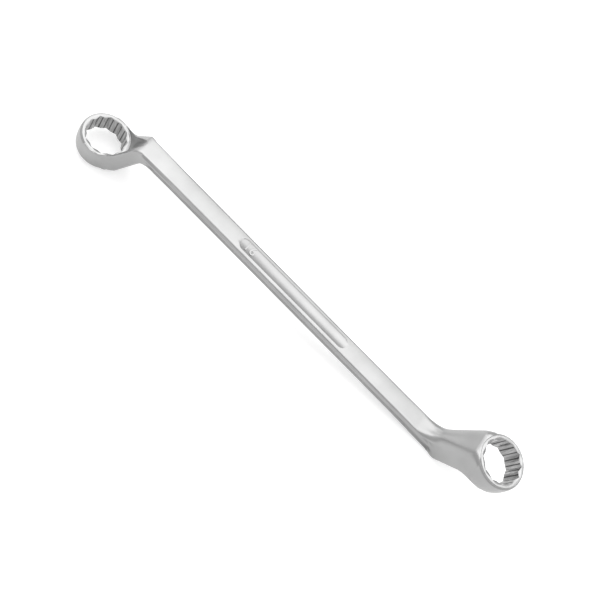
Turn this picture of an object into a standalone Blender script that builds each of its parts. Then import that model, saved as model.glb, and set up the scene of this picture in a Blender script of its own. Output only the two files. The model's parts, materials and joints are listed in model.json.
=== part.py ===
"""Double-ended ring spanner with deep offset heads, forged in one piece.

Metres, +Z up. The spanner lies as it comes to rest on a table: the lower ring and the knee of
the other neck touch it. X runs along the handle and Y = 0 is its plane of symmetry.
"""

import math

import bmesh
import bpy
from mathutils import Matrix, Vector

MM = 0.001

# Bores: two hexagons each, so that a nut fits at every thirty degrees
LEFT_ACROSS_FLATS = 16.0 * MM
RIGHT_ACROSS_FLATS = 17.0 * MM
BORE_CLEARANCE = 0.12 * MM
BORE_CORNER_ROUND = 0.25 * MM
LEAD_IN = 0.25 * MM
HEXAGON_CORNERS = 6
CORNER_STEPS = 2

# Rings: their faces lie level with the handle's faces
LEFT_RING_RADIUS = 11.1 * MM
RIGHT_RING_RADIUS = 11.7 * MM
LEFT_RING_HEIGHT = 9.8 * MM
RIGHT_RING_HEIGHT = 10.3 * MM
LEFT_RING_REACH = 103.2 * MM
RIGHT_RING_REACH = 108.6 * MM
LEFT_RING_OFFSET = 24.7 * MM
RIGHT_RING_OFFSET = 26.4 * MM
RING_EDGE_ROUND = 0.25 * MM
RING_BULGE = 0.5 * MM
RING_SEGMENTS = 72
COLLAR_HEIGHT = 0.9 * MM
COLLAR_LEDGE = 0.5 * MM
COLLAR_STEP = 1.1 * MM

# Handle: a flat bar that widens a little towards the larger ring
HANDLE_THICKNESS = 5.5 * MM
HANDLE_LEFT_WIDTH = 9.1 * MM
HANDLE_RIGHT_WIDTH = 9.4 * MM
HANDLE_EDGE_ROUND = 0.35 * MM

# Necks, measured from the ring's axis towards the handle. The inner face is the one that
# looks the way the ring is offset, and the outer face has the knee.
LEFT_BEND_REACH = 21.5 * MM
LEFT_BEND_RADIUS = 9.0 * MM
LEFT_CROWN_REACH = 12.0 * MM
LEFT_CROWN_RADIUS = 4.0 * MM
LEFT_KNEE_REACH = 15.8 * MM
LEFT_KNEE_RADIUS = 3.5 * MM
LEFT_CREST_REACH = 6.6 * MM
LEFT_CREST_RADIUS = 11.4 * MM
RIGHT_BEND_REACH = 23.7 * MM
RIGHT_BEND_RADIUS = 12.0 * MM
RIGHT_CROWN_REACH = 13.2 * MM
RIGHT_CROWN_RADIUS = 3.5 * MM
RIGHT_KNEE_REACH = 15.4 * MM
RIGHT_KNEE_RADIUS = 3.5 * MM
RIGHT_CREST_REACH = 5.2 * MM
RIGHT_CREST_RADIUS = 11.4 * MM
NECK_START = 6.0 * MM
FLARE_ANGLE = math.radians(22)
FLARE_RADIUS = 10.0 * MM
NECK_INNER_ROUND = 3.4 * MM
NECK_OUTER_ROUND = 0.9 * MM
NECK_SINK = 0.04 * MM

# Hollow between the two webs of each neck, on the knee's side
HOLLOW_RIM = 0.8 * MM
HOLLOW_TIP_RADIUS = 3.0 * MM
HOLLOW_TIP_BACK = 0.6 * MM
HOLLOW_SEGMENTS = 40

# Grooves along the handle's edges, and the sunk panel on each broad face
GROOVE_DEPTH = 0.32 * MM
GROOVE_FADE = 4.0 * MM
GROOVE_END = 1.8 * MM
PANEL_LENGTH = 63.6 * MM
PANEL_WIDTH = 6.0 * MM
PANEL_DEPTH = 0.3 * MM
PANEL_DRAFT = 0.25 * MM
PANEL_END_SEGMENTS = 40

OVERRUN = 1.0 * MM

# Places of the points round half a section, as shares of the face and of the side
FACE_SHARES = (0.0, 0.35, 0.7)
GROOVE_PLACE_SHARES = (0.04, 0.09, 0.15, 0.21, 0.27)
GROOVE_DEPTH_SHARES = (0.0, 0.75, 1.0, 0.75, 0.0)
ARC_STEPS = 7
ROUND_STEPS = 3
BULGE_STEPS = 6
SLOPE_STEPS = 4
CROWN_STEPS = 4

STEEL_COLOR = (0.60, 0.60, 0.59, 1.0)
STEEL_ROUGHNESS = 0.34


class End:
    """One end of the spanner. Its profile is drawn with u towards the handle's middle and h
    towards the side that the ring is offset to; side is -1 on the left and 1 on the right."""

    def __init__(self, name, side, across, radius, height, reach, offset, width):
        self.name = name
        self.side = side
        self.across = across + BORE_CLEARANCE
        self.radius = radius
        self.height = height
        self.reach = reach
        self.offset = offset
        self.half_width = width / 2

    def bends(self, bend, crown, knee, crest):
        self.bend, self.crown, self.knee, self.crest = bend, crown, knee, crest
        return self

    def place(self, u, h, y=0.0):
        return Vector((self.side * (self.reach - u), y, self.side * h))

    def frame(self):
        """Turns a shape drawn about the ring's axis, +Z the way of h, into its place."""
        turn = Matrix.Identity(4) if self.side > 0 else Matrix.Rotation(math.pi, 4, "Y")
        return Matrix.Translation((self.side * self.reach, 0, 0)) @ turn


LEFT = End("left", -1, LEFT_ACROSS_FLATS, LEFT_RING_RADIUS, LEFT_RING_HEIGHT,
           LEFT_RING_REACH, LEFT_RING_OFFSET, HANDLE_LEFT_WIDTH)
LEFT.bends((LEFT_BEND_REACH, LEFT_BEND_RADIUS), (LEFT_CROWN_REACH, LEFT_CROWN_RADIUS),
           (LEFT_KNEE_REACH, LEFT_KNEE_RADIUS), (LEFT_CREST_REACH, LEFT_CREST_RADIUS))
RIGHT = End("right", 1, RIGHT_ACROSS_FLATS, RIGHT_RING_RADIUS, RIGHT_RING_HEIGHT,
            RIGHT_RING_REACH, RIGHT_RING_OFFSET, HANDLE_RIGHT_WIDTH)
RIGHT.bends((RIGHT_BEND_REACH, RIGHT_BEND_RADIUS), (RIGHT_CROWN_REACH, RIGHT_CROWN_RADIUS),
            (RIGHT_KNEE_REACH, RIGHT_KNEE_RADIUS), (RIGHT_CREST_REACH, RIGHT_CREST_RADIUS))


def clear_scene():
    for old in list(bpy.data.objects):
        bpy.data.objects.remove(old, do_unlink=True)


def new_collection(name):
    made = bpy.data.collections.new(name)
    bpy.context.scene.collection.children.link(made)
    return made


def object_from(bm, name, collection):
    mesh = bpy.data.meshes.new(name)
    bm.to_mesh(mesh)
    bm.free()
    made = bpy.data.objects.new(name, mesh)
    collection.objects.link(made)
    return made


def as_tool(obj):
    """A shape that only cuts or joins another."""
    obj.hide_render = True
    obj.display_type = "WIRE"
    return obj


def boolean(target, tool, operation):
    cut = target.modifiers.new(f"{operation.lower()} {tool.name}", "BOOLEAN")
    cut.operation = operation
    cut.object = tool
    cut.solver = "EXACT"


def fillet(before, corner, after, radius, steps):
    """Points of the arc that rounds the corner between two straight runs."""
    to_before = (before - corner).normalized()
    to_after = (after - corner).normalized()
    half = to_before.angle(to_after) / 2
    back = radius / math.tan(half)
    center = corner + (to_before + to_after).normalized() * (radius / math.sin(half))
    first = corner + to_before * back - center
    last = corner + to_after * back - center
    sweep = first.angle(last)
    points = []
    for i in range(steps + 1):
        share = i / steps
        start = math.sin((1 - share) * sweep) / math.sin(sweep)
        stop = math.sin(share * sweep) / math.sin(sweep)
        points.append(center + first * start + last * stop)
    return points


def neck_line(start, first, second, stop):
    """Start, rounded first corner, slope, rounded second corner, stop. Each is a point and,
    for a corner, its radius."""
    first_arc = fillet(start, first[0], second[0], first[1], ARC_STEPS)
    second_arc = fillet(first[0], second[0], stop, second[1], ARC_STEPS)
    slope = [first_arc[-1].lerp(second_arc[0], i / SLOPE_STEPS) for i in range(1, SLOPE_STEPS)]
    return [start] + first_arc + slope + second_arc + [stop]


def neck_lines(end):
    """The inner and the outer face of a neck in its plane of symmetry."""
    half = HANDLE_THICKNESS / 2
    top = end.offset - COLLAR_STEP
    foot = end.offset - end.height + NECK_SINK
    begin = end.bend[0] + end.bend[1] + NECK_START
    inner = neck_line(
        Vector((begin, half)),
        (Vector((end.bend[0], half)), end.bend[1]),
        (Vector((end.crown[0], top)), end.crown[1]),
        Vector((0, top)),
    )
    outer = neck_line(
        Vector((begin, -half)),
        (Vector((end.knee[0], -half)), end.knee[1]),
        (Vector((end.crest[0], foot)), end.crest[1]),
        Vector((-end.crest[0] / 2, foot)),
    )
    return inner, outer


def half_width(end, u):
    """Half of the plan's width: the ring's circle, its tangent, a fillet and the handle."""
    radius = end.radius - NECK_SINK
    slope = math.tan(FLARE_ANGLE)
    touch_u = radius * math.sin(FLARE_ANGLE)
    touch_y = radius * math.cos(FLARE_ANGLE)
    if u < touch_u:
        return math.sqrt(radius ** 2 - u ** 2)
    corner_u = touch_u + (touch_y - end.half_width) / slope
    reach = FLARE_RADIUS * math.tan(FLARE_ANGLE / 2)
    if u > corner_u + reach:
        return end.half_width
    if u < corner_u - reach * math.cos(FLARE_ANGLE):
        return touch_y - (u - touch_u) * slope
    rest = corner_u + reach - u
    return end.half_width + FLARE_RADIUS - math.sqrt(FLARE_RADIUS ** 2 - rest ** 2)


def groove_depth(u, start, fade):
    """Nothing up to start, then deeper to the full depth once past the fade."""
    return GROOVE_DEPTH * min(1.0, max(0.0, (u - start) / fade))


def half_section(end, inner, outer, inner_round, outer_round):
    """Points (u, h, y) from the middle of the inner face round to that of the outer face."""
    step = (outer - inner).normalized()

    def place(spot, tuck):
        return (spot.x, spot.y, half_width(end, spot.x) - tuck)

    def face(spot, size):
        reach = half_width(end, spot.x) - size
        return [(spot.x, spot.y, reach * share) for share in FACE_SHARES]

    def corner(spot, way, size):
        points = []
        for i in range(ROUND_STEPS + 1):
            angle = math.pi / 2 * i / ROUND_STEPS
            depth = size * (1 - math.cos(angle))
            points.append(place(spot + way * depth, size * (1 - math.sin(angle))))
        return points

    def groove(near, far, start, fade):
        depth = groove_depth(near.x, start, fade)
        pairs = zip(GROOVE_PLACE_SHARES, GROOVE_DEPTH_SHARES)
        return [place(near.lerp(far, share), depth * dip) for share, dip in pairs]

    low = inner + step * inner_round
    high = outer - step * outer_round
    first = face(inner, inner_round) + corner(inner, step, inner_round)
    first += groove(low, high, end.bend[0], GROOVE_FADE)
    last = face(outer, outer_round) + corner(outer, -step, outer_round)
    last += groove(high, low, end.knee[0], GROOVE_END)
    return first + [place(low.lerp(high, 0.5), 0)] + list(reversed(last))


def grown(i, first, last):
    """A round that grows from station to station until the neck's bend is passed."""
    return first + (last - first) * min(1.0, i / ARC_STEPS)


def neck_sections(end):
    """Closed sections from the handle to the ring, each a list of places in the forging."""
    inner, outer = neck_lines(end)
    sections = []
    for i in range(len(inner)):
        inner_round = grown(i, HANDLE_EDGE_ROUND, NECK_INNER_ROUND)
        outer_round = grown(i, HANDLE_EDGE_ROUND, NECK_OUTER_ROUND)
        # The inner round shrinks again at the crown, so that the neck's face meets the collar
        left = min(1.0, (len(inner) - 1 - i) / CROWN_STEPS)
        inner_round = RING_EDGE_ROUND + (inner_round - RING_EDGE_ROUND) * left
        half = half_section(end, inner[i], outer[i], inner_round, outer_round)
        if end.side < 0:
            half.reverse()
        near = [end.place(u, h, y) for u, h, y in half]
        far = [end.place(u, h, -y) for u, h, y in half[-2:0:-1]]
        sections.append(near + far)
    return sections


def forging_blank(collection):
    """The handle and both necks as one loft, left end to right end."""
    sections = list(reversed(neck_sections(LEFT))) + neck_sections(RIGHT)
    bm = bmesh.new()
    rings = [[bm.verts.new(place) for place in section] for section in sections]
    for first, second in zip(rings, rings[1:]):
        for i in range(len(first)):
            after = (i + 1) % len(first)
            bm.faces.new((first[i], first[after], second[after], second[i]))
    bm.faces.new(rings[0])
    bm.faces.new(reversed(rings[-1]))
    bmesh.ops.recalc_face_normals(bm, faces=bm.faces)
    return object_from(bm, "spanner_forging", collection)


def turned(profile, name, end, collection):
    """A shape turned about the ring's axis from (radius, height) points, top to bottom."""
    bm = bmesh.new()
    points = [bm.verts.new((radius, 0, height)) for radius, height in profile]
    for first, second in zip(points, points[1:]):
        bm.edges.new((first, second))
    made = object_from(bm, name, collection)
    screw = made.modifiers.new("turn", "SCREW")
    screw.steps = RING_SEGMENTS
    screw.render_steps = RING_SEGMENTS
    screw.use_merge_vertices = True
    screw.merge_threshold = NECK_SINK / 2
    made.matrix_world = end.frame()
    return as_tool(made)


def ring_blank(end, collection):
    """The ring before its bore is cut: a bulging disc with a narrower collar at each face."""
    middle = end.offset - end.height / 2
    face = end.height / 2
    ledge = face - COLLAR_HEIGHT
    collar = end.radius - COLLAR_LEDGE
    tucked = RING_EDGE_ROUND * (1 - math.cos(math.pi / 4))
    upper = [
        (0, face),
        (collar - RING_EDGE_ROUND, face),
        (collar - tucked, face - tucked),
        (collar, face - RING_EDGE_ROUND),
        (collar, ledge),
    ]
    wall = []
    for i in range(BULGE_STEPS + 1):
        level = 1 - 2 * i / BULGE_STEPS
        wall.append((end.radius + RING_BULGE * (1 - level ** 2), ledge * level))
    lower = [(radius, -height) for radius, height in reversed(upper)]
    profile = [(radius, middle + height) for radius, height in upper + wall + lower]
    return turned(profile, f"{end.name}_ring_blank", end, collection)


def tip_radius(end):
    """From the axis to where two neighbouring flats of the two hexagons cross."""
    return end.across / 2 / math.cos(math.pi / (2 * HEXAGON_CORNERS))


def corner_radius(end):
    return end.across / 2 / math.cos(math.pi / HEXAGON_CORNERS)


def bore_outline(end):
    """Twelve rounded corners with the crossings of the two hexagons between them."""
    count = 2 * HEXAGON_CORNERS
    inner = tip_radius(end)
    outer = corner_radius(end)
    points = []
    for i in range(count):
        angle = 2 * math.pi * i / count
        before = Vector((math.cos(angle - math.pi / count), math.sin(angle - math.pi / count))) * inner
        corner = Vector((math.cos(angle), math.sin(angle))) * outer
        after = Vector((math.cos(angle + math.pi / count), math.sin(angle + math.pi / count))) * inner
        points.append(before)
        points.extend(fillet(before, corner, after, BORE_CORNER_ROUND, CORNER_STEPS))
    return points


def bore_cutter(end, collection):
    bm = bmesh.new()
    low = end.offset - end.height - OVERRUN
    outline = [bm.verts.new((point.x, point.y, low)) for point in bore_outline(end)]
    face = bm.faces.new(outline)
    raised = bmesh.ops.extrude_face_region(bm, geom=[face])
    lift = [item for item in raised["geom"] if isinstance(item, bmesh.types.BMVert)]
    bmesh.ops.translate(bm, verts=lift, vec=(0, 0, end.height + 2 * OVERRUN))
    bmesh.ops.recalc_face_normals(bm, faces=bm.faces)
    made = object_from(bm, f"{end.name}_bore", collection)
    made.matrix_world = end.frame()
    return as_tool(made)


def lead_in_cutter(end, collection):
    """Two cones, one from each face, that ease the nut into the bore."""
    wide = corner_radius(end) + LEAD_IN
    narrow = tip_radius(end) - LEAD_IN
    deep = wide - narrow
    middle = end.offset - end.height / 2
    half = end.height / 2
    profile = (
        (0, middle + half + OVERRUN),
        (wide + OVERRUN, middle + half + OVERRUN),
        (narrow, middle + half - deep),
        (narrow, middle - half + deep),
        (wide + OVERRUN, middle - half - OVERRUN),
        (0, middle - half - OVERRUN),
    )
    made = turned(profile, f"{end.name}_lead_in", end, collection)
    # Half a step on, so that the bore's corners fall between the cones' edges
    made.matrix_world = end.frame() @ Matrix.Rotation(math.pi / RING_SEGMENTS, 4, "Z")
    return made


def hollow_cutter(end, collection):
    """A slanted cone from the ring's outer face to the knee. It leaves a web on each side."""
    foot = end.offset - end.height + NECK_SINK * 2
    lip = -HANDLE_THICKNESS / 2
    wide = end.radius - HOLLOW_RIM
    tip_middle = end.knee[0] + HOLLOW_TIP_BACK - HOLLOW_TIP_RADIUS
    tall = foot - lip
    past = (tall + OVERRUN) / tall
    bm = bmesh.new()
    bmesh.ops.create_cone(
        bm, cap_ends=True, segments=HOLLOW_SEGMENTS, depth=tall + OVERRUN,
        radius1=wide + (HOLLOW_TIP_RADIUS - wide) * past, radius2=wide,
        matrix=Matrix.Translation((0, 0, foot - (tall + OVERRUN) / 2)),
    )
    for vert in bm.verts:
        vert.co.x -= tip_middle * (foot - vert.co.z) / tall
    made = object_from(bm, f"{end.name}_hollow", collection)
    made.matrix_world = end.frame()
    return as_tool(made)


def panel_cutter(name, face, collection):
    """A stadium with drafted walls, sunk into one broad face."""
    straight = PANEL_LENGTH / 2 - PANEL_WIDTH / 2
    tall = PANEL_DEPTH + OVERRUN
    flare = PANEL_DRAFT * tall / PANEL_DEPTH
    bm = bmesh.new()
    bmesh.ops.create_cone(
        bm, cap_ends=True, segments=PANEL_END_SEGMENTS, depth=tall,
        radius1=PANEL_WIDTH / 2 - PANEL_DRAFT, radius2=PANEL_WIDTH / 2 - PANEL_DRAFT + flare,
        matrix=Matrix.Translation((0, 0, HANDLE_THICKNESS / 2 - PANEL_DEPTH + tall / 2)),
    )
    for vert in bm.verts:
        vert.co.x += math.copysign(straight, vert.co.x)
    made = object_from(bm, name, collection)
    if face < 0:
        made.matrix_world = Matrix.Rotation(math.pi, 4, "Y")
    return as_tool(made)


def steel():
    material = bpy.data.materials.new("satin chrome-plated steel")
    material.use_nodes = True
    shader = material.node_tree.nodes["Principled BSDF"]
    shader.inputs["Base Color"].default_value = STEEL_COLOR
    shader.inputs["Metallic"].default_value = 1.0
    shader.inputs["Roughness"].default_value = STEEL_ROUGHNESS
    return material


def cut_forging(forging, tools):
    for end in (LEFT, RIGHT):
        boolean(forging, hollow_cutter(end, tools), "DIFFERENCE")
    for end in (LEFT, RIGHT):
        boolean(forging, ring_blank(end, tools), "UNION")
    for end in (LEFT, RIGHT):
        bore = bore_cutter(end, tools)
        boolean(bore, lead_in_cutter(end, tools), "UNION")
        boolean(forging, bore, "DIFFERENCE")
    for face, name in ((1, "panel_upper"), (-1, "panel_lower")):
        boolean(forging, panel_cutter(name, face, tools), "DIFFERENCE")


def resting_tilt():
    """The angle at which the left ring's rim and the right knee lie on one level line."""
    rim = LEFT.place(LEFT.radius - COLLAR_LEDGE - RING_EDGE_ROUND, LEFT.offset)
    knee_u = RIGHT.knee[0] + RIGHT.knee[1]
    knee = RIGHT.place(knee_u, RIGHT.knee[1] - HANDLE_THICKNESS / 2)
    run = knee - rim
    return math.atan2(run.z, run.x) - math.asin(RIGHT.knee[1] / run.length)


def set_down(forging):
    """Tilts the spanner to its resting place and centres it over the origin."""
    shapes = list(bpy.data.objects)
    root = bpy.data.objects.new("spanner", None)
    forging.users_collection[0].objects.link(root)
    for shape in shapes:
        shape.parent = root
    root.rotation_euler.y = resting_tilt()
    bpy.context.view_layer.update()
    solid = forging.evaluated_get(bpy.context.evaluated_depsgraph_get())
    mesh = solid.to_mesh()
    places = [solid.matrix_world @ vert.co for vert in mesh.vertices]
    solid.to_mesh_clear()
    across = [place.x for place in places]
    root.location = (-(min(across) + max(across)) / 2, 0, -min(place.z for place in places))


def main():
    clear_scene()
    parts = new_collection("ring spanner")
    tools = new_collection("cutters")
    forging = forging_blank(parts)
    forging.data.materials.append(steel())
    cut_forging(forging, tools)
    forging.data.shade_smooth()
    set_down(forging)


main()
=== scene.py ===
import json
import math

import bmesh
import bpy
from mathutils import Matrix, Vector

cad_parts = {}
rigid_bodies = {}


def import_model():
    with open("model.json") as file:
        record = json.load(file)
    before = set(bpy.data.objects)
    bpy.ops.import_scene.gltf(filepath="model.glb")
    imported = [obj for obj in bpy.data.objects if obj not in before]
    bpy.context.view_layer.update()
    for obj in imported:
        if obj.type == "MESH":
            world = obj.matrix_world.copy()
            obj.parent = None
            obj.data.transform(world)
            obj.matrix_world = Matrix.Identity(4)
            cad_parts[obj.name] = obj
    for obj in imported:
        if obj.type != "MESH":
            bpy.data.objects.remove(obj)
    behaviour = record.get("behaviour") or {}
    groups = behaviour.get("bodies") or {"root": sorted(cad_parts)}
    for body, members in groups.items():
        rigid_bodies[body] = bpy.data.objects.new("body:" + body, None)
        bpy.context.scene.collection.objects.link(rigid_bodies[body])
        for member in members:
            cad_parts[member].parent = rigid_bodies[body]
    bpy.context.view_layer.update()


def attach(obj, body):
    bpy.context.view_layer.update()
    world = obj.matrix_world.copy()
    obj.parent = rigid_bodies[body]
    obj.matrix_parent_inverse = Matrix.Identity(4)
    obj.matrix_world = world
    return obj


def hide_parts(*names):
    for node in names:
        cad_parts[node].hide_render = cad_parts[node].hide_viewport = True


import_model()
mm = 0.001


def meshObject(bm, name):
    mesh = bpy.data.meshes.new(name)
    bm.to_mesh(mesh)
    bm.free()
    obj = bpy.data.objects.new(name, mesh)
    bpy.context.scene.collection.objects.link(obj)
    return obj


def combine(target, tool, operation):
    step = target.modifiers.new(operation.lower(), "BOOLEAN")
    step.operation = operation
    step.object = tool
    step.solver = "EXACT"


def applyAll(obj):
    graph = bpy.context.evaluated_depsgraph_get()
    mesh = bpy.data.meshes.new_from_object(obj.evaluated_get(graph))
    obj.modifiers.clear()
    obj.data = mesh


def drop(*tools):
    for tool in tools:
        bpy.data.objects.remove(tool, do_unlink=True)


def roundCorner(before, corner, after, radius, steps):
    # points of the arc that rounds the corner of two straight runs
    toBefore = (before - corner).normalized()
    toAfter = (after - corner).normalized()
    half = toBefore.angle(toAfter) / 2
    back = radius / math.tan(half)
    center = corner + (toBefore + toAfter).normalized() * (radius / math.sin(half))
    first = corner + toBefore * back - center
    last = corner + toAfter * back - center
    sweep = first.angle(last)
    points = []
    for i in range(steps + 1):
        share = i / steps
        start = math.sin((1 - share) * sweep) / math.sin(sweep)
        stop = math.sin(share * sweep) / math.sin(sweep)
        points.append(center + first * start + last * stop)
    return points


# The forging: a grooved bar whose ends sweep into deep offset necks and rings.
forging = {
    "tilt": 0.1195307,                     # the way it rests on the table
    "lift": (-3.07174 * mm, 0, 13.618108 * mm),
    "thickness": 5.5 * mm,
    "edgeRound": 0.45 * mm,
    "edgeSpread": 0.8 * mm,                # the polished edges are wider than they are deep
    "faceBow": 0.12 * mm,                  # and the broad faces are left slightly crowned
    "neckInnerRound": 3.4 * mm,
    "neckOuterRound": 0.45 * mm,
    "neckStart": 6 * mm,
    "flareAngle": math.radians(22),
    "flareRadius": 10 * mm,
    "sink": 0.04 * mm,                     # keeps joined faces from lying in one plane
    "wallSteps": 8,                        # from a ring's middle to either end of its wall
    "ringSegments": 144,
    "collarLedge": 0.5 * mm,
    "shoulder": 0.45 * mm,                 # the wall leans in under each collar
    "collarRound": 0.45 * mm,
    "collarRoundSteps": 6,
    "grooveDepth": 0.6 * mm,               # deeper than real: the smoothing takes some
    "grooveHeel": 0.5 * mm,                # the side grooves run deepest where the bend starts
    "grooveHeelAt": 1.3,                   # in lengths of the groove's fade
    "grooveHeelFall": 2,
    "grooveFade": 3 * mm,
    "grooveEnd": 1.8 * mm,
    "valleyDepth": 0.18 * mm,              # shallow fuller down the inside of each neck
    "hollowRim": 0.45 * mm,
    "hollowTipRadius": 3.9 * mm,
    "hollowTipBack": 0.6 * mm,
    "hollowSegments": 96,
    "voxel": 0.26 * mm,
    "softening": 5,
    "keptShare": 0.45,                     # of the faces, after the even voxel skin
}
leftHead = {
    "side": -1, "across": 16.12 * mm, "radius": 11.1 * mm, "height": 9.8 * mm,
    "reach": 103.2 * mm, "offset": 24.7 * mm, "halfWidth": 4.55 * mm,
    "bend": (21.5 * mm, 9.0 * mm), "crown": (11.7 * mm, 4.0 * mm),
    "knee": (15.8 * mm, 3.5 * mm), "crest": (6.6 * mm, 11.4 * mm),
    "collarStep": 0.35 * mm, "collars": (0.4 * mm, 0.9 * mm), "bulge": 0.38 * mm,
    "crownRound": 1.0 * mm, "grooveRun": 0.0,
}
rightHead = {
    "side": 1, "across": 17.12 * mm, "radius": 11.7 * mm, "height": 10.3 * mm,
    "reach": 108.6 * mm, "offset": 26.4 * mm, "halfWidth": 4.7 * mm,
    "bend": (23.7 * mm, 12.0 * mm), "crown": (11.7 * mm, 2.6 * mm),
    "knee": (15.4 * mm, 3.5 * mm), "crest": (5.2 * mm, 11.4 * mm),
    "collarStep": 0.2 * mm, "collars": (0.9 * mm, 0.9 * mm), "bulge": 0.48 * mm,
    "crownRound": 3.4 * mm, "grooveRun": 3.5 * mm,
}
heads = (leftHead, rightHead)
arcSteps, slopeSteps, roundSteps, crownSteps = 16, 9, 8, 4
mergeGap = 0.001 * mm
# place across the face, share of the valley's depth there
faceShares = ((0.0, 1.0), (0.15, 0.95), (0.3, 0.79), (0.5, 0.5), (0.7, 0.21), (0.85, 0.05))
# place down the side, share of the groove's depth: steep at the top, then easing out
grooveShares = ((0.04, 0.0), (0.07, 0.45), (0.1, 0.85), (0.15, 1.0),
                (0.22, 0.85), (0.3, 0.55), (0.38, 0.25), (0.45, 0.0))


def headPlace(head):
    # ring axis to the handle's frame, +Z the way the ring is offset
    turn = Matrix.Identity(4) if head["side"] > 0 else Matrix.Rotation(math.pi, 4, "Y")
    return Matrix.Translation((head["side"] * head["reach"], 0, 0)) @ turn


def neckLine(start, first, second, stop):
    firstArc = roundCorner(start, first[0], second[0], first[1], arcSteps)
    secondArc = roundCorner(first[0], second[0], stop, second[1], arcSteps)
    slope = [firstArc[-1].lerp(secondArc[0], i / slopeSteps) for i in range(1, slopeSteps)]
    return [start] + firstArc + slope + secondArc + [stop]


def neckLines(head):
    half = forging["thickness"] / 2
    top = head["offset"] - head["collarStep"]      # the neck's face lies this far below the rim
    foot = head["offset"] - head["height"] + forging["sink"]
    begin = head["bend"][0] + head["bend"][1] + forging["neckStart"]
    inner = neckLine(Vector((begin, half)), (Vector((head["bend"][0], half)), head["bend"][1]),
                     (Vector((head["crown"][0], top)), head["crown"][1]), Vector((0, top)))
    outer = neckLine(Vector((begin, -half)), (Vector((head["knee"][0], -half)), head["knee"][1]),
                     (Vector((head["crest"][0], foot)), head["crest"][1]),
                     Vector((-head["crest"][0] / 2, foot)))
    return inner, outer


def planHalfWidth(head, u):
    # the ring's circle, its tangent, a fillet and the handle
    radius = head["radius"] - forging["sink"]
    angle = forging["flareAngle"]
    touch = Vector((radius * math.sin(angle), radius * math.cos(angle)))
    if u < touch.x:
        return math.sqrt(radius ** 2 - u ** 2)
    cornerAt = touch.x + (touch.y - head["halfWidth"]) / math.tan(angle)
    fillet = forging["flareRadius"]
    reach = fillet * math.tan(angle / 2)
    if u > cornerAt + reach:
        return head["halfWidth"]
    if u < cornerAt - reach * math.cos(angle):
        return touch.y - (u - touch.x) * math.tan(angle)
    rest = cornerAt + reach - u
    return head["halfWidth"] + fillet - math.sqrt(fillet ** 2 - rest ** 2)


def halfSection(head, inner, outer, innerRound, outerRound, dip, handleShare):
    step = (outer - inner).normalized()
    bow = forging["faceBow"] * handleShare
    spread = forging["edgeSpread"] * handleShare

    def wall(spot, tuck):
        return (spot.x, spot.y, planHalfWidth(head, spot.x) - tuck)

    def flat(spot, size, way, deep):
        reach = planHalfWidth(head, spot.x) - size - spread
        sunk = [(spot + way * (deep * fall + bow * share ** 2), share)
                for share, fall in faceShares]
        return [(place.x, place.y, reach * share) for place, share in sunk]

    def corner(spot, way, size):
        points = []
        for i in range(roundSteps + 1):
            angle = math.pi / 2 * i / roundSteps
            deep = bow + size * (1 - math.cos(angle))
            points.append(wall(spot + way * deep, (size + spread) * (1 - math.sin(angle))))
        return points

    def groove(near, far, start, fade):
        past = (near.x - start) / fade
        heel = forging["grooveHeel"] * math.exp(
            -forging["grooveHeelFall"] * (past - forging["grooveHeelAt"]) ** 2)
        depth = (forging["grooveDepth"] + heel) * min(1, max(0, past))
        return [wall(near.lerp(far, share), depth * fall) for share, fall in grooveShares]

    low = inner + step * (innerRound + bow)
    high = outer - step * (outerRound + bow)
    first = flat(inner, innerRound, step, dip) + corner(inner, step, innerRound)
    first += groove(low, high, head["bend"][0] - head["grooveRun"], forging["grooveFade"])
    last = flat(outer, outerRound, -step, 0) + corner(outer, -step, outerRound)
    last += groove(high, low, head["knee"][0], forging["grooveEnd"])
    return first + [wall(low.lerp(high, 0.5), 0)] + last[::-1]


def neckSections(head):
    inner, outer = neckLines(head)
    side, reach = head["side"], head["reach"]
    last = len(inner) - 1
    sections = []
    edge = forging["edgeRound"]
    for i in range(last + 1):
        grown = min(1, i / arcSteps)
        met = min(1, (last - i) / crownSteps)         # changes again where the collar starts
        innerRound = edge + (forging["neckInnerRound"] - edge) * grown
        innerRound = head["crownRound"] + (innerRound - head["crownRound"]) * met
        outerRound = edge + (forging["neckOuterRound"] - edge) * grown
        dip = forging["valleyDepth"] * math.sin(math.pi * min(1, i / (last - arcSteps / 2)))
        half = halfSection(head, inner[i], outer[i], innerRound, outerRound, dip, 1 - grown)
        if side < 0:
            half.reverse()
        near = [Vector((side * (reach - u), y, side * h)) for u, h, y in half]
        far = [Vector((side * (reach - u), -y, side * h)) for u, h, y in half[-2:0:-1]]
        sections.append(near + far)
    return sections


def handleAndNecks():
    # one loop of points, drawn out from station to station
    sections = neckSections(leftHead)[::-1] + neckSections(rightHead)
    bm = bmesh.new()
    loop = bmesh.ops.create_circle(bm, segments=len(sections[0]), radius=mm)["verts"]
    for vert, place in zip(loop, sections[0]):
        vert.co = place
    edges = list(bm.edges)
    for section in sections[1:]:
        order = {vert.co.to_tuple(9): i for i, vert in enumerate(loop)}
        drawn = bmesh.ops.extrude_edge_only(bm, edges=edges)["geom"]
        fresh = [item for item in drawn if isinstance(item, bmesh.types.BMVert)]
        fresh.sort(key=lambda vert: order[vert.co.to_tuple(9)])
        edges = [item for item in drawn
                 if isinstance(item, bmesh.types.BMEdge) and item.is_boundary]
        edges = [edge for edge in edges if all(vert in fresh for vert in edge.verts)]
        for vert, place in zip(fresh, section):
            vert.co = place
        loop = fresh
    bmesh.ops.holes_fill(bm, edges=[edge for edge in bm.edges if edge.is_boundary], sides=0)
    bmesh.ops.recalc_face_normals(bm, faces=bm.faces)
    return meshObject(bm, "handleAndNecks")


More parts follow.
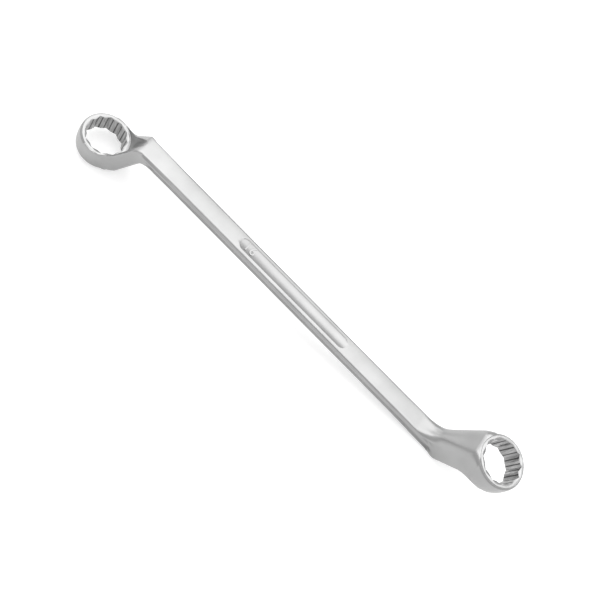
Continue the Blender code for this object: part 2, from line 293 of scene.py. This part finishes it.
def ringWall(head, name):
    # the forged wall of a ring: it bulges at half height and leans in short of both rims
    high = head["offset"] - head["collars"][0]
    low = head["offset"] - head["height"] + head["collars"][1]
    middle, half = (high + low) / 2, (high - low) / 2
    levels = [1 - i / forging["wallSteps"] for i in range(2 * forging["wallSteps"] + 1)]
    wall = [(head["radius"] + head["bulge"] * (1 - level ** 2), middle + half * level)
            for level in levels]
    narrow = head["radius"] - forging["collarLedge"]
    upper = min(high + forging["shoulder"], head["offset"] - forging["sink"])
    lower = low - forging["shoulder"]
    profile = [(0, upper), (narrow, upper)] + wall + [(narrow, lower), (0, lower)]
    bm = bmesh.new()
    points = [bm.verts.new((radius, 0, level)) for radius, level in profile]
    edges = [bm.edges.new(pair) for pair in zip(points, points[1:])]
    bmesh.ops.spin(bm, geom=points + edges, cent=(0, 0, 0), axis=(0, 0, 1), angle=2 * math.pi,
                   steps=forging["ringSegments"], use_merge=True)
    bmesh.ops.remove_doubles(bm, verts=bm.verts, dist=mergeGap)
    bmesh.ops.recalc_face_normals(bm, faces=bm.faces)
    bmesh.ops.transform(bm, matrix=headPlace(head), verts=bm.verts)
    return meshObject(bm, name)


def neckHollow(head, name):
    # slanted cone between the two webs of a neck
    foot = head["offset"] - head["height"] + forging["sink"] * 2
    tall = foot + forging["thickness"] / 2
    wide = head["radius"] - forging["hollowRim"]
    tip = forging["hollowTipRadius"]
    tipMiddle = head["knee"][0] + forging["hollowTipBack"] - tip
    past = (tall + mm) / tall
    bm = bmesh.new()
    bmesh.ops.create_cone(bm, cap_ends=True, segments=forging["hollowSegments"], depth=tall + mm,
                          radius1=wide + (tip - wide) * past, radius2=wide,
                          matrix=Matrix.Translation((0, 0, foot - (tall + mm) / 2)))
    for vert in bm.verts:
        vert.co.x -= tipMiddle * (foot - vert.co.z) / tall
    bmesh.ops.transform(bm, matrix=headPlace(head), verts=bm.verts)
    return meshObject(bm, name)


def forgedBody():
    body = handleAndNecks()
    tools = []
    for head, name in zip(heads, ("left", "right")):
        hollow, wall = neckHollow(head, name + "Hollow"), ringWall(head, name + "Wall")
        combine(body, hollow, "DIFFERENCE")
        combine(body, wall, "UNION")
        tools += [hollow, wall]
    applyAll(body)
    drop(*tools)
    skin = body.modifiers.new("skin", "REMESH")
    skin.mode = "VOXEL"
    skin.voxel_size = forging["voxel"]
    soft = body.modifiers.new("soft", "SMOOTH")
    soft.factor = 0.5
    soft.iterations = forging["softening"]
    thin = body.modifiers.new("thin", "DECIMATE")
    thin.ratio = forging["keptShare"]
    applyAll(body)
    return body


# What is cut after forging: the turned collars, the broached bores and the sunk panels.
bore = {"cornerRound": 0.25 * mm, "cornerSteps": 4, "leadIn": 0.1 * mm, "leadSlope": 0.6,
        "over": 1 * mm, "mouthSegments": 144}
# Known flaw: at this depth the walls slope 31 degrees, under the sharp angle below, so the
# flat floors shade as if they were rounded. A depth of 0.32 mm would put them above it.
panel = {"length": 63.6 * mm, "width": 6.0 * mm, "depth": 0.3 * mm, "draft": 0.5 * mm,
         "segments": 96}


def collar(head, name):
    bm = bmesh.new()
    radius = head["radius"] - forging["collarLedge"]
    middle = head["offset"] - head["height"] / 2
    bmesh.ops.create_cone(bm, cap_ends=True, segments=forging["ringSegments"], radius1=radius,
                          radius2=radius, depth=head["height"],
                          matrix=Matrix.Translation((0, 0, middle)))
    rims = [edge for edge in bm.edges if any(len(face.verts) > 4 for face in edge.link_faces)]
    bmesh.ops.bevel(bm, geom=rims, offset=forging["collarRound"], affect="EDGES",
                    segments=forging["collarRoundSteps"], profile=0.5, material=-1)
    bmesh.ops.transform(bm, matrix=headPlace(head), verts=bm.verts)
    return meshObject(bm, name)


def boreCutter(head, name):
    # twelve rounded corners, with the crossings of two hexagons between them
    tip = head["across"] / 2 / math.cos(math.pi / 12)
    corner = head["across"] / 2 / math.cos(math.pi / 6)
    outline = []
    for i in range(12):
        angle = math.pi / 6 * i
        sides = [Vector((math.cos(angle + turn), math.sin(angle + turn))) * tip
                 for turn in (-math.pi / 12, math.pi / 12)]
        peak = Vector((math.cos(angle), math.sin(angle))) * corner
        outline.append(sides[0])
        outline += roundCorner(sides[0], peak, sides[1], bore["cornerRound"], bore["cornerSteps"])
    bm = bmesh.new()
    low = head["offset"] - head["height"] - bore["over"]
    loop = bmesh.ops.create_circle(bm, cap_ends=True, segments=len(outline), radius=tip)["verts"]
    for vert, place in zip(loop, outline):
        vert.co = (place.x, place.y, low)
    raised = bmesh.ops.extrude_face_region(bm, geom=list(bm.faces))["geom"]
    lifted = [item for item in raised if isinstance(item, bmesh.types.BMVert)]
    bmesh.ops.translate(bm, verts=lifted, vec=(0, 0, head["height"] + 2 * bore["over"]))
    bmesh.ops.recalc_face_normals(bm, faces=bm.faces)
    star = meshObject(bm, name)
    mouths = [mouthCutter(head, name + "Top", 1), mouthCutter(head, name + "Foot", -1)]
    for mouth in mouths:
        combine(star, mouth, "UNION")
    applyAll(star)
    drop(*mouths)
    star.data.transform(headPlace(head))
    return star


def mouthCutter(head, name, way):
    # a shallow lead-in cone at one face, that leaves the twelve corners open
    wide = head["across"] / 2 / math.cos(math.pi / 6) - bore["leadIn"]
    narrow = head["across"] / 2 / math.cos(math.pi / 12) - bore["leadIn"]
    deep = (wide - narrow) * bore["leadSlope"]
    widest = wide + bore["over"] / bore["leadSlope"]
    face = head["offset"] if way > 0 else head["offset"] - head["height"]
    bm = bmesh.new()
    bmesh.ops.create_cone(bm, cap_ends=True, segments=bore["mouthSegments"],
                          depth=deep + bore["over"],
                          radius1=narrow if way > 0 else widest,
                          radius2=widest if way > 0 else narrow,
                          matrix=Matrix.Translation((0, 0, face + way * (bore["over"] - deep) / 2))
                          @ Matrix.Rotation(math.pi / bore["mouthSegments"], 4, "Z"))
    return meshObject(bm, name)


def panelCutter(way, name):
    straight = (panel["length"] - panel["width"]) / 2
    tall = panel["depth"] + mm
    low = panel["width"] / 2 - panel["draft"]
    middle = forging["thickness"] / 2 - panel["depth"] + tall / 2
    bm = bmesh.new()
    bmesh.ops.create_cone(bm, cap_ends=True, segments=panel["segments"], depth=tall, radius1=low,
                          radius2=low + panel["draft"] * tall / panel["depth"],
                          matrix=Matrix.Translation((0, 0, middle)))
    for vert in bm.verts:
        vert.co.x += math.copysign(straight, vert.co.x)
    if way < 0:
        bmesh.ops.transform(bm, matrix=Matrix.Rotation(math.pi, 4, "Y"), verts=bm.verts)
    return meshObject(bm, name)


def machine(body):
    collars = [collar(leftHead, "leftCollar"), collar(rightHead, "rightCollar")]
    cutters = [boreCutter(leftHead, "leftBore"), boreCutter(rightHead, "rightBore"),
               panelCutter(1, "upperPanel"), panelCutter(-1, "lowerPanel")]
    for tool in collars:
        combine(body, tool, "UNION")
    for tool in cutters:
        combine(body, tool, "DIFFERENCE")
    applyAll(body)
    drop(*collars, *cutters)


def linear(hexValue):
    channels = [int(hexValue[i:i + 2], 16) / 255 for i in (1, 3, 5)]
    return tuple(c / 12.92 if c <= 0.04045 else ((c + 0.055) / 1.055) ** 2.4
                 for c in channels) + (1,)


def addNode(material, kind, settings=None, links=None):
    # settings are the node's own properties or socket values, links go socket -> (node, output)
    node = material.node_tree.nodes.new(kind)
    for key, value in (settings or {}).items():
        if isinstance(key, str) and hasattr(node, key):
            setattr(node, key, value)
        else:
            node.inputs[key].default_value = value
    for key, (source, output) in (links or {}).items():
        material.node_tree.links.new(source.outputs[output], node.inputs[key])
    return node


def newMaterial(name):
    material = bpy.data.materials.new(name)
    material.use_nodes = True
    material.node_tree.nodes.clear()
    return material


# sockets of the colour Mix node: its factor, two colours and result
factorIn, firstIn, secondIn, mixedOut = 0, 6, 7, 2
# noise seldom leaves this span, so it is what gets spread over a whole range
noiseSpan = {"From Min": 0.3, "From Max": 0.7}

# Satin chrome plate over a blasted forging: the blasting leaves a fine even grain that
# spreads the reflection, and the plate pulls it slightly lighter and darker in broad clouds.
satin = {"dark": "#999999", "light": "#a1a1a1", "rough": (0.3, 0.4), "grain": 0.28 * mm,
         "cloud": 14 * mm, "grainHeight": 0.01 * mm}


def satinChrome():
    material = newMaterial("satin chrome plate on blasted forging")
    place = addNode(material, "ShaderNodeTexCoord")
    grain = addNode(material, "ShaderNodeTexNoise",
                    {"Scale": 1 / satin["grain"], "Detail": 3.0, "Roughness": 0.6},
                    {"Vector": (place, "Object")})
    cloud = addNode(material, "ShaderNodeTexNoise",
                    {"Scale": 1 / satin["cloud"], "Detail": 2.0, "Roughness": 0.5},
                    {"Vector": (place, "Object")})
    spread = addNode(material, "ShaderNodeMapRange", noiseSpan, {"Value": (cloud, "Fac")})
    tone = addNode(material, "ShaderNodeMix",
                   {"data_type": "RGBA", firstIn: linear(satin["dark"]),
                    secondIn: linear(satin["light"])},
                   {factorIn: (spread, "Result")})
    rough = addNode(material, "ShaderNodeMapRange",
                    {**noiseSpan, "To Min": satin["rough"][0], "To Max": satin["rough"][1]},
                    {"Value": (grain, "Fac")})
    bump = addNode(material, "ShaderNodeBump", {"Strength": 1.0, "Distance": satin["grainHeight"]},
                   {"Height": (grain, "Fac")})
    shader = addNode(material, "ShaderNodeBsdfPrincipled", {"Metallic": 1.0},
                     {"Base Color": (tone, mixedOut), "Roughness": (rough, "Result"),
                      "Normal": (bump, "Normal")})
    addNode(material, "ShaderNodeOutputMaterial", links={"Surface": (shader, "BSDF")})
    return material


# Ground and plated rim: the grinding wheel leaves rings too fine to count, so they are
# drawn at 0.35 mm, and the face is smoother and brighter than the blasted forging.
rim = {"dark": "#969696", "light": "#a6a6a6", "rough": (0.26, 0.34), "ringPitch": 0.35 * mm,
       "ringHeight": 0.004 * mm}


def groundRim():
    material = newMaterial("ground chrome rim")
    radial = addNode(material, "ShaderNodeAttribute", {"attribute_name": "ringRadius"})
    turns = addNode(material, "ShaderNodeMath", {"operation": "DIVIDE", 1: rim["ringPitch"]},
                    {0: (radial, "Fac")})
    rings = addNode(material, "ShaderNodeTexNoise",
                    {"noise_dimensions": "1D", "Scale": 1.0, "Detail": 2.0},
                    {"W": (turns, "Value")})
    spread = addNode(material, "ShaderNodeMapRange", noiseSpan, {"Value": (rings, "Fac")})
    tone = addNode(material, "ShaderNodeMix",
                   {"data_type": "RGBA", firstIn: linear(rim["dark"]),
                    secondIn: linear(rim["light"])},
                   {factorIn: (spread, "Result")})
    rough = addNode(material, "ShaderNodeMapRange",
                    {**noiseSpan, "To Min": rim["rough"][0], "To Max": rim["rough"][1]},
                    {"Value": (rings, "Fac")})
    bump = addNode(material, "ShaderNodeBump", {"Strength": 0.6, "Distance": rim["ringHeight"]},
                   {"Height": (rings, "Fac")})
    shader = addNode(material, "ShaderNodeBsdfPrincipled", {"Metallic": 1.0},
                     {"Base Color": (tone, mixedOut), "Roughness": (rough, "Result"),
                      "Normal": (bump, "Normal")})
    addNode(material, "ShaderNodeOutputMaterial", links={"Surface": (shader, "BSDF")})
    return material


# Broached bore: the broach drags fine straight scores along the axis. Down the middle of
# each flat a dark stripe of painted reflection is laid over them.
# the dark stripe colour is a painted reflection, darkening the middle of every flat
broach = {"dark": "#828282", "light": "#b4b4b4", "paintedReflectionStripe": "#3e3e3e", "rough": (0.24, 0.36),
          "score": 0.3 * mm, "scoreLength": 14 * mm, "scoreHeight": 0.01 * mm,
          "paintedReflectionEdge": (0.34, 0.46)}      # in flats, from where two of them meet


def broachedBore():
    material = newMaterial("broached chrome bore")
    fine, coarse = 1 / broach["score"], 1 / broach["scoreLength"]
    place = addNode(material, "ShaderNodeTexCoord")
    level = addNode(material, "ShaderNodeMapping",
                    {"vector_type": "POINT", "Rotation": (0, -forging["tilt"], 0),
                     "Scale": (fine, fine, coarse)},
                    {"Vector": (place, "Object")})
    scores = addNode(material, "ShaderNodeTexNoise", {"Scale": 1.0, "Detail": 2.0},
                     {"Vector": (level, "Vector")})
    spread = addNode(material, "ShaderNodeMapRange", noiseSpan, {"Value": (scores, "Fac")})
    flats = addNode(material, "ShaderNodeMix",
                    {"data_type": "RGBA", firstIn: linear(broach["dark"]),
                     secondIn: linear(broach["light"])},
                    {factorIn: (spread, "Result")})
    # painted reflection: a dark stripe down the middle of each flat, set by the place across the
    # flat
    across = addNode(material, "ShaderNodeAttribute", {"attribute_name": "facetPlace"})
    toEdge = addNode(material, "ShaderNodeMath", {"operation": "PINGPONG", 1: 0.5},
                     {0: (across, "Fac")})
    paintedReflectionStripe = addNode(material, "ShaderNodeMapRange",
                     {"From Min": broach["paintedReflectionEdge"][0], "From Max": broach["paintedReflectionEdge"][1]},
                     {"Value": (toEdge, "Value")})
    tone = addNode(material, "ShaderNodeMix",
                   {"data_type": "RGBA", secondIn: linear(broach["paintedReflectionStripe"])},
                   {factorIn: (paintedReflectionStripe, "Result"), firstIn: (flats, mixedOut)})
    rough = addNode(material, "ShaderNodeMapRange",
                    {**noiseSpan, "To Min": broach["rough"][0], "To Max": broach["rough"][1]},
                    {"Value": (scores, "Fac")})
    bump = addNode(material, "ShaderNodeBump", {"Strength": 0.8, "Distance": broach["scoreHeight"]},
                   {"Height": (scores, "Fac")})
    shader = addNode(material, "ShaderNodeBsdfPrincipled", {"Metallic": 1.0},
                     {"Base Color": (tone, mixedOut), "Roughness": (rough, "Result"),
                      "Normal": (bump, "Normal")})
    addNode(material, "ShaderNodeOutputMaterial", links={"Surface": (shader, "BSDF")})
    return material


# How the faces are told apart: how far they look up or down, and the play about each limit.
finish = {"rimPlay": 0.2 * mm, "mouthPlay": 0.05 * mm, "borePlay": 0.02 * mm,
          "upright": 0.1, "slanted": 0.3, "level": 0.9, "sharpAngle": math.radians(32)}
onRim, inBore = 1, 2                       # places in the body's list of materials


def fromAxis(head, place):
    return math.hypot(place.x - head["side"] * head["reach"], place.y)


def dressForging(body):
    # satin unless a face's place about its ring's axis puts it on a rim or in a bore
    for material in (satinChrome(), groundRim(), broachedBore()):
        body.data.materials.append(material)
    bm = bmesh.new()
    bm.from_mesh(body.data)
    radial = bm.verts.layers.float.new("ringRadius")
    facet = bm.loops.layers.float.new("facetPlace")
    for vert in bm.verts:
        vert[radial] = fromAxis(heads[vert.co.x > 0], vert.co)
    for face in bm.faces:
        middle = face.calc_center_median()
        head = heads[middle.x > 0]
        distance = fromAxis(head, middle)
        height = middle.z * head["side"]
        low, top = head["offset"] - head["height"], head["offset"]
        mouth = head["across"] / 2 / math.cos(math.pi / 6) + finish["mouthPlay"]
        if not low - finish["rimPlay"] < height < top + finish["rimPlay"]:
            continue
        facing = abs(face.normal.z)        # 1 for a level face, 0 for an upright one
        if distance < mouth - finish["borePlay"]:
            face.material_index = inBore
        if facing < finish["upright"]:
            # counts the flats round the bore, so each one runs from a whole number to the next
            toward = math.atan2(middle.y, middle.x - head["side"] * head["reach"])
            for loop in face.loops:
                spot = loop.vert.co
                angle = math.atan2(spot.y, spot.x - head["side"] * head["reach"])
                turned = math.remainder(angle - toward, 2 * math.pi)
                loop[facet] = (toward + turned + 2 * math.pi) * 12 / math.pi
        # the rims, their outer rounds and the lead-ins of the bores are ground together
        nearRim = (min(top - height, height - low) < forging["collarRound"]
                   and distance < head["radius"])
        leadIn = distance < mouth and facing > finish["slanted"]
        outside = distance > mouth + finish["mouthPlay"]
        if leadIn or nearRim and (facing > finish["level"] or outside):
            face.material_index = onRim
    bm.to_mesh(body.data)
    bm.free()
    body.data.shade_smooth()
    body.data.set_sharp_from_angle(angle=finish["sharpAngle"])


restPlace = Matrix.Translation(forging["lift"]) @ Matrix.Rotation(forging["tilt"], 4, "Y")

for old in list(bpy.data.objects):
    if old.name in ("Cube", "Camera", "Light"):
        bpy.data.objects.remove(old, do_unlink=True)

body = forgedBody()
print("forged body:", len(body.data.polygons), "faces")
machine(body)
print("collars, bores and panels machined:", len(body.data.polygons), "faces")
dressForging(body)
body.data.transform(restPlace)
body.name = "forgedSpanner"
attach(body, "root")
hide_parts("spanner_forging")
print("spanner dressed and laid down")

# Raised size numeral near the smaller ring's end of the upper panel.
numeral = {"text": "16", "height": 4.2 * mm, "figureShare": 0.7,     # of the size, for a figure
           "raised": 0.18 * mm, "sunk": 0.05 * mm, "edge": 0.06 * mm, "edgeSteps": 2,
           "x": -29.2 * mm, "y": -1.7 * mm}


def sizeNumeral():
    curve = bpy.data.curves.new("sizeNumeral", "FONT")
    curve.body = numeral["text"]
    curve.size = numeral["height"] / numeral["figureShare"]
    curve.extrude = (numeral["raised"] + numeral["sunk"]) / 2 - numeral["edge"]
    curve.bevel_depth = numeral["edge"]
    curve.bevel_resolution = numeral["edgeSteps"]
    made = bpy.data.objects.new("sizeNumeral", curve)
    bpy.context.scene.collection.objects.link(made)
    graph = bpy.context.evaluated_depsgraph_get()
    mesh = bpy.data.meshes.new_from_object(made.evaluated_get(graph))
    bpy.data.objects.remove(made, do_unlink=True)
    floorAt = forging["thickness"] / 2 - panel["depth"]
    middle = floorAt + (numeral["raised"] - numeral["sunk"]) / 2
    mesh.transform(Matrix.Translation((numeral["x"], numeral["y"], middle)))
    obj = bpy.data.objects.new("sizeNumeral", mesh)
    bpy.context.scene.collection.objects.link(obj)
    bm = bmesh.new()
    bm.from_mesh(mesh)
    bmesh.ops.remove_doubles(bm, verts=bm.verts, dist=mergeGap)
    bmesh.ops.recalc_face_normals(bm, faces=bm.faces)
    bm.to_mesh(mesh)
    bm.free()
    mesh.materials.clear()
    mesh.materials.append(body.data.materials[0])
    mesh.transform(restPlace)
    return obj


digits = sizeNumeral()
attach(digits, "root")
print("size numeral raised")

# Pale table in an evenly lit room, with a large softbox overhead and a weak one low at the left.
studio = {
    "floorSize": 6.0, "floorDark": "#cdcdcd", "floorLight": "#d1d1d1", "floorRough": 0.9,
    "fibre": 30 * mm,
    "floorGlow": 0.5,                      # lit from below, which takes the depth out of shadows
    "overhead": 0.95, "horizon": 0.8, "overheadFrom": 0.7,
    "key": 19.5, "keySize": (2.6, 1.25),
    "keyPlace": (-0.15, 0.5, 1.35), "keyTarget": (-0.15, 0.0, 0.0),
    "side": 2.4, "sideSize": (0.9, 0.7),
    "sidePlace": (-1.25, 0.85, 0.58), "sideTarget": (0.0, 0.0, 0.0),
}


def paintFloor():
    material = newMaterial("matt white acrylic light table")     # glows, so shade is only faint
    place = addNode(material, "ShaderNodeTexCoord")
    fibre = addNode(material, "ShaderNodeTexNoise", {"Scale": 1 / studio["fibre"], "Detail": 2.0},
                    {"Vector": (place, "Object")})
    tone = addNode(material, "ShaderNodeMix",
                   {"data_type": "RGBA", firstIn: linear(studio["floorDark"]),
                    secondIn: linear(studio["floorLight"])},
                   {factorIn: (fibre, "Fac")})
    shader = addNode(material, "ShaderNodeBsdfPrincipled",
                     {"Roughness": studio["floorRough"], "Emission Color": (1, 1, 1, 1),
                      "Emission Strength": studio["floorGlow"]},
                     {"Base Color": (tone, mixedOut)})
    addNode(material, "ShaderNodeOutputMaterial", links={"Surface": (shader, "BSDF")})
    return material


def layFloor():
    bm = bmesh.new()
    bmesh.ops.create_grid(bm, x_segments=1, y_segments=1, size=studio["floorSize"] / 2)
    floor = meshObject(bm, "tableTop")
    floor.data.materials.append(paintFloor())


def softbox(name, power, size, place, target):
    light = bpy.data.lights.new(name, "AREA")
    light.energy = power
    light.shape = "RECTANGLE"
    light.size, light.size_y = size
    obj = bpy.data.objects.new(name, light)
    bpy.context.scene.collection.objects.link(obj)
    obj.location = place
    obj.rotation_euler = (Vector(target) - Vector(place)).to_track_quat("-Z", "Y").to_euler()


def lightStudio():
    world = bpy.data.worlds.new("paleRoom")
    bpy.context.scene.world = world
    world.use_nodes = True
    room = world.node_tree.nodes["Background"]
    way = addNode(world, "ShaderNodeTexCoord")
    parts = addNode(world, "ShaderNodeSeparateXYZ", links={"Vector": (way, "Generated")})
    strength = addNode(world, "ShaderNodeMapRange",
                       {"From Min": 0.0, "From Max": studio["overheadFrom"],
                        "To Min": studio["horizon"], "To Max": studio["overhead"]},
                       {"Value": (parts, "Z")})
    world.node_tree.links.new(strength.outputs["Result"], room.inputs["Strength"])
    room.inputs["Color"].default_value = (1, 1, 1, 1)
    softbox("keyBox", studio["key"], studio["keySize"], studio["keyPlace"], studio["keyTarget"])
    softbox("sideBox", studio["side"], studio["sideSize"], studio["sidePlace"],
            studio["sideTarget"])
    bpy.context.scene.view_settings.view_transform = "Standard"


# from the fit of the photograph: place and axes in the handle's own frame
shot = {"place": (-36.391 * mm, -187.401 * mm, 303.918 * mm),
        "right": (0.698957, 0.561942, 0.442357), "up": (-0.706284, 0.639557, 0.303528),
        "lens": 50.617, "sensor": 36, "clip": (0.01, 20)}


def setCamera():
    camera = bpy.data.cameras.new("photoCamera")
    camera.lens = shot["lens"]
    camera.sensor_width = shot["sensor"]
    camera.clip_start, camera.clip_end = shot["clip"]
    obj = bpy.data.objects.new("photoCamera", camera)
    bpy.context.scene.collection.objects.link(obj)
    right, up = Vector(shot["right"]).normalized(), Vector(shot["up"])
    up = (up - right * up.dot(right)).normalized()
    turn = Matrix((right, up, right.cross(up))).transposed().to_4x4()
    obj.matrix_world = restPlace @ Matrix.Translation(shot["place"]) @ turn
    bpy.context.scene.camera = obj


layFloor()
lightStudio()
setCamera()
print("table, light and camera set")
